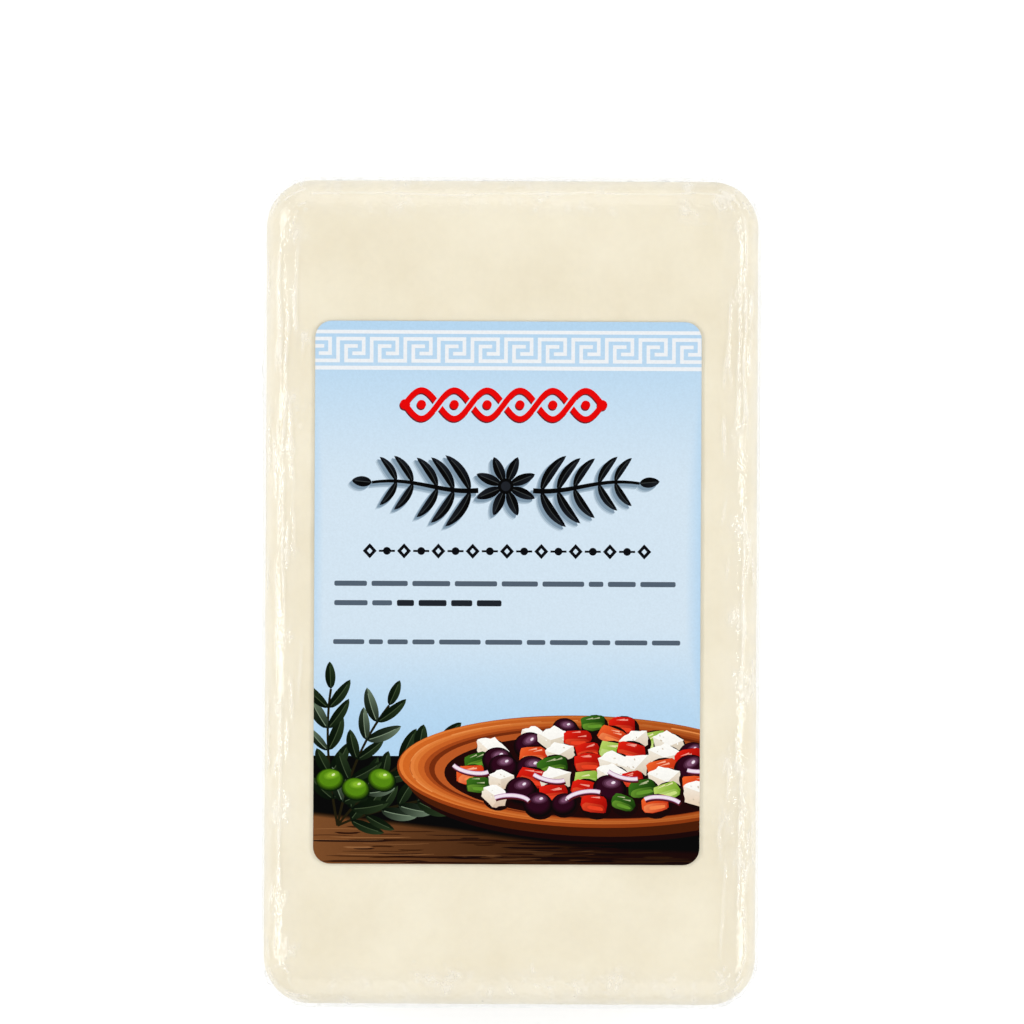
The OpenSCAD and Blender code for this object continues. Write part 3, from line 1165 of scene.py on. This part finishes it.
def make_label():
    """A thin paper label on the film. Each printed shape is its own patch of the surface."""
    shapes = draw_label()
    width = LABEL_HIGH[0] - LABEL_LOW[0]
    length = LABEL_HIGH[1] - LABEL_LOW[1]
    points, outlines = [], []
    for outline, _ in shapes:
        outlines.append(list(range(len(points), len(points) + len(outline))))
        points.extend(Vector(p) for p in outline)
    for u in np.arange(3.0, width - 2, 3.5):
        for v in np.arange(3.0, length - 2, 3.5):
            points.append(Vector((u, v)))
    places, _, triangles, _, _, _ = delaunay_2d_cdt(points, [], outlines, 1, 1e-5, False)
    spots = np.array([tuple(p) for p in places])
    triangles = np.array([tuple(t) for t in triangles])
    owners = uppermost(spots[triangles].mean(axis=1), [outline for outline, _ in shapes])
    kept, colours = [], []
    cache = {}
    for triangle, owner in zip(triangles.tolist(), owners.tolist()):
        if owner < 0:
            continue
        kept.append(triangle)
        for corner in triangle:
            key = (corner, owner)
            if key not in cache:
                cache[key] = ink(*shapes[owner][1](*places[corner]))
            colours.append(cache[key])
    used = sorted({corner for triangle in kept for corner in triangle})
    number = {old: new for new, old in enumerate(used)}
    top = [tuple(number[c] for c in triangle) for triangle in kept]
    flat = [(LABEL_LOW[0] + places[c][0], LABEL_HIGH[1] - places[c][1]) for c in used]
    rim = outer_rim(top)
    low_first = len(flat)
    underside = HEIGHT - LABEL_SINK
    wave = noise_field([(x, y, HEIGHT) for x, y in flat], 30.0, 3)
    vertices = [(x, y, LABEL_HIGH[2] + 0.02 * w) for (x, y), w in zip(flat, wave)]
    vertices += [(flat[c][0], flat[c][1], underside) for c in rim]
    middle = len(vertices)
    vertices.append((LABEL_LOW[0] + width / 2, 0.0, underside))
    faces = list(top)
    for k, c in enumerate(rim):
        n = (k + 1) % len(rim)
        faces.append((rim[n], c, low_first + k, low_first + n))
        faces.append((low_first + n, low_first + k, middle))
    mesh = bpy.data.meshes.new("printed_label")
    mesh.from_pydata((np.array(vertices) * MM).tolist(), [], faces)
    paper = ink(236, 238, 240)
    loops = colours + [paper] * (len(mesh.loops) - len(colours))
    attribute = mesh.color_attributes.new("print", "FLOAT_COLOR", "CORNER")
    attribute.data.foreach_set("color", [c for colour in loops for c in (*colour, 1.0)])
    if mesh.polygons[0].normal.z < 0:
        mesh.flip_normals()
    piece = bpy.data.objects.new("printed_label", mesh)
    bpy.context.scene.collection.objects.link(piece)
    return piece


def label_material():
    """Satin printed paper: the print's colours, a faint paper grain and a soft sheen."""
    material, tree, output, add = new_material("printed_paper")
    place = add("ShaderNodeTexCoord").outputs["Object"]
    colour = add("ShaderNodeAttribute")
    colour.attribute_name = "print"
    grain = add("ShaderNodeTexNoise", Vector=place, Scale=1500.0, Detail=2.0)
    fleck = ranged(add, grain.outputs["Fac"], 0.3, 0.7, 0.97, 1.03)
    tint = scaled(tree, colour.outputs["Color"], fleck)
    bump = add("ShaderNodeBump", Height=grain.outputs["Fac"], Strength=0.05, Distance=0.0001)
    shader = add(
        "ShaderNodeBsdfPrincipled", Base_Color=tint, Roughness=0.48,
        Normal=bump.outputs["Normal"],
    )
    shader.inputs["Specular IOR Level"].default_value = 0.05
    tree.links.new(shader.outputs[0], output.inputs["Surface"])
    return material


film = make_film()
give(film, film_material())
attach(film, "root")
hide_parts("bag")

cheese = make_cheese()
give(cheese, cheese_material())
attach(cheese, "root")

for end in (1, -1):
    seal = make_end_seal(end)
    give(seal, film.data.materials[0])
    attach(seal, "root")

label = make_label()
give(label, label_material())
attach(label, "root")
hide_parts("label")


# ---------------------------------------------------------------- floor, lights and camera

def add_area(name, place, aim, size, energy):
    """A soft rectangular lamp that the camera doesn't see."""
    lamp = bpy.data.lights.new(name, "AREA")
    lamp.shape = "RECTANGLE"
    lamp.size, lamp.size_y = size
    lamp.energy = energy
    holder = bpy.data.objects.new(name, lamp)
    holder.location = place
    way = Vector(aim) - Vector(place)
    holder.rotation_euler = way.to_track_quat("-Z", "Y").to_euler()
    holder.visible_camera = False
    bpy.context.scene.collection.objects.link(holder)
    return holder


ROOM_LIGHT = 0.545

scene = bpy.context.scene
scene.view_settings.view_transform = "Standard"

world = bpy.data.worlds.new("studio")
world.use_nodes = True
sky_tree = world.node_tree
backdrop = sky_tree.nodes["Background"]
backdrop.inputs["Color"].default_value = (1, 1, 1, 1)
rays = sky_tree.nodes.new("ShaderNodeLightPath")
strength = maths(sky_tree, "MULTIPLY", rays.outputs["Is Camera Ray"], 1 - ROOM_LIGHT)
sky_tree.links.new(maths(sky_tree, "ADD", strength, ROOM_LIGHT), backdrop.inputs["Strength"])
scene.world = world

floor_mesh = bpy.data.meshes.new("floor")
floor_mesh.from_pydata([(-2, -2, 0), (2, -2, 0), (2, 2, 0), (-2, 2, 0)], [], [(0, 1, 2, 3)])
floor = bpy.data.objects.new("floor", floor_mesh)
scene.collection.objects.link(floor)
floor_material, floor_tree, floor_output, floor_add = new_material("pale_floor")
floor_shader = floor_add("ShaderNodeBsdfPrincipled", Base_Color=(0.92, 0.93, 0.95, 1), Roughness=0.8)
floor_shader.inputs["Specular IOR Level"].default_value = 0.0
floor_shader.inputs["Emission Color"].default_value = (1, 1, 1, 1)
floor_shader.inputs["Emission Strength"].default_value = 0.1
floor_tree.links.new(floor_shader.outputs[0], floor_output.inputs["Surface"])
give(floor, floor_material)
floor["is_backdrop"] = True

middle = (0, 0, 0.05)
STRIP, FILL = (1.6, 0.32), (2.0, 1.4)
add_area("strip_left", (-1.5, 0.1, 0.95), middle, STRIP, 15.5)
add_area("strip_right", (1.5, 0.1, 0.92), middle, STRIP, 14.5)
add_area("fill_far", (0, 1.6, 0.95), middle, FILL, 10.2)
add_area("fill_near", (0, -1.6, 0.95), middle, FILL, 10.2)

camera_data = bpy.data.cameras.new("camera")
camera_data.lens = 300
camera_data.sensor_width = 36
camera_data.clip_end = 20
camera = bpy.data.objects.new("camera", camera_data)
FRAME_WIDTH = 0.3366
CAMERA_PLACE = (0.0002, 0.0266)
CAMERA_TURN = 0.26
distance = FRAME_WIDTH * camera_data.lens / camera_data.sensor_width
camera.location = (*CAMERA_PLACE, LABEL_HIGH[2] * MM + distance)
camera.rotation_euler = (0, 0, math.radians(CAMERA_TURN))
scene.collection.objects.link(camera)
scene.camera = camera

boxes = {"cad": cad_box, "visual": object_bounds()}
{k: [[float(c) for c in p] for p in v] for k, v in boxes.items()}
